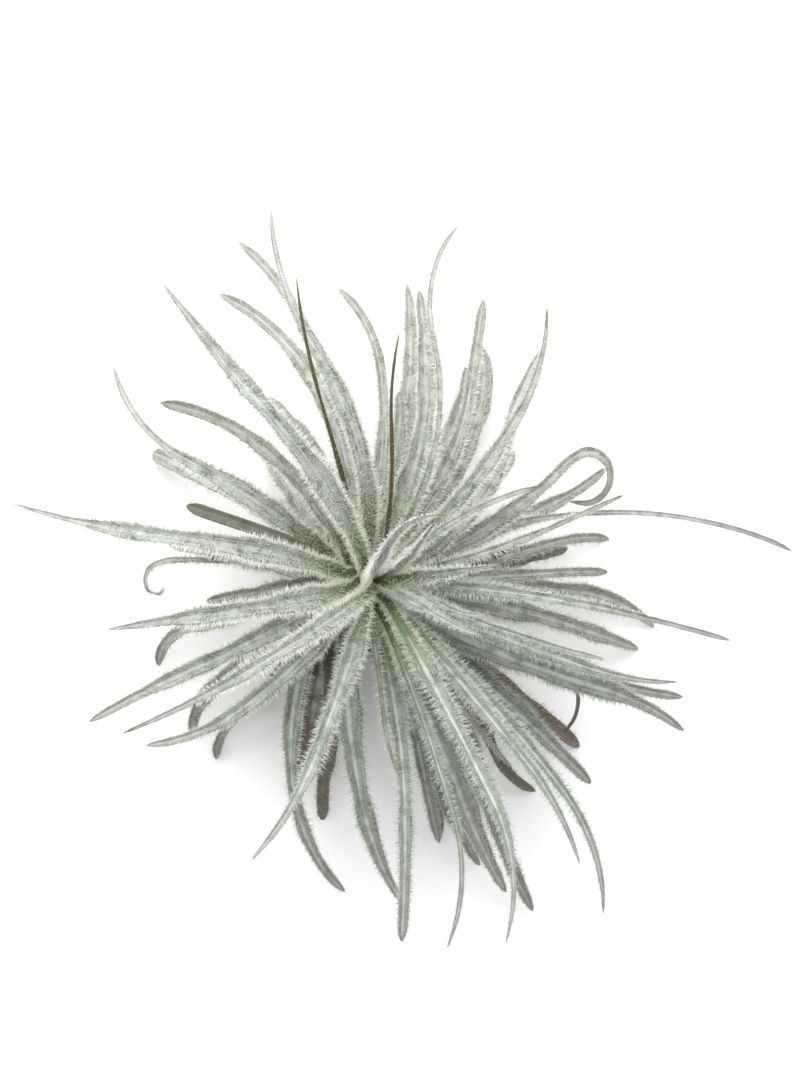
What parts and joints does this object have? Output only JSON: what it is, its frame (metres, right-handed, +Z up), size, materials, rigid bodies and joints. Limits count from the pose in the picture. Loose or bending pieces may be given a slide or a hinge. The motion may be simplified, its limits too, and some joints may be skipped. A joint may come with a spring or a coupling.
{
  "type": "air plant",
  "caption": "Fuzzy silver air plant: an open rosette of slender channelled leaves, thick with white hairs, on a short cut stem; stands on the stem and its drooping outer leaves",
  "frame": {"origin": "centre of the stem's flat cut base, on the surface the plant stands on", "axes": "+Z up along the stem to the growing point; X and Y level, the longest leaves reaching along X"},
  "size_m": [0.1672, 0.1393, 0.0863],
  "materials": {
    "stem": "dry, fibrous brown stem",
    "heart_leaf": "green-grey leaf under white hairs, orange-brown tip",
    "silver_leaf": "silver, thickly haired leaf",
    "grey_leaf": "grey-silver haired leaf with a drier tip",
    "old_leaf": "old pale leaf, browned along its edges"
  },
  "bodies": {
    "root": {"stem": "stem", "heart_leaf_01": "heart_leaf", "heart_leaf_02": "heart_leaf", "heart_leaf_03": "heart_leaf", "heart_leaf_04": "heart_leaf", "heart_leaf_05": "heart_leaf", "heart_leaf_06": "heart_leaf", "heart_leaf_07": "heart_leaf", "inner_leaf_01": "silver_leaf", "inner_leaf_02": "silver_leaf", "inner_leaf_03": "silver_leaf", "inner_leaf_04": "silver_leaf", "inner_leaf_05": "silver_leaf", "inner_leaf_06": "silver_leaf", "inner_leaf_07": "silver_leaf", "inner_leaf_08": "silver_leaf", "inner_leaf_09": "silver_leaf", "inner_leaf_10": "silver_leaf", "inner_leaf_11": "silver_leaf", "inner_leaf_12": "silver_leaf", "inner_leaf_13": "silver_leaf", "inner_leaf_14": "silver_leaf", "inner_leaf_15": "silver_leaf", "inner_leaf_16": "silver_leaf", "inner_leaf_17": "silver_leaf", "inner_leaf_18": "silver_leaf", "inner_leaf_19": "silver_leaf", "inner_leaf_20": "silver_leaf", "inner_leaf_21": "silver_leaf", "middle_leaf_01": "grey_leaf", "middle_leaf_02": "grey_leaf", "middle_leaf_03": "grey_leaf", "middle_leaf_04": "grey_leaf", "middle_leaf_05": "grey_leaf", "middle_leaf_06": "grey_leaf", "middle_leaf_07": "grey_leaf", "middle_leaf_08": "grey_leaf", "middle_leaf_09": "grey_leaf", "middle_leaf_10": "grey_leaf", "outer_leaf_01": "old_leaf", "outer_leaf_02": "old_leaf", "outer_leaf_03": "old_leaf", "outer_leaf_04": "old_leaf", "outer_leaf_05": "old_leaf", "outer_leaf_06": "old_leaf", "outer_leaf_07": "old_leaf", "outer_leaf_08": "old_leaf", "outer_leaf_09": "old_leaf", "outer_leaf_10": "old_leaf", "outer_leaf_11": "old_leaf", "outer_leaf_12": "old_leaf", "outer_leaf_13": "old_leaf", "outer_leaf_14": "old_leaf", "outer_leaf_15": "old_leaf", "outer_leaf_16": "old_leaf", "outer_leaf_17": "old_leaf", "outer_leaf_18": "old_leaf", "outer_leaf_19": "old_leaf", "outer_leaf_20": "old_leaf", "outer_leaf_21": "old_leaf"}
  },
  "joints": []
}
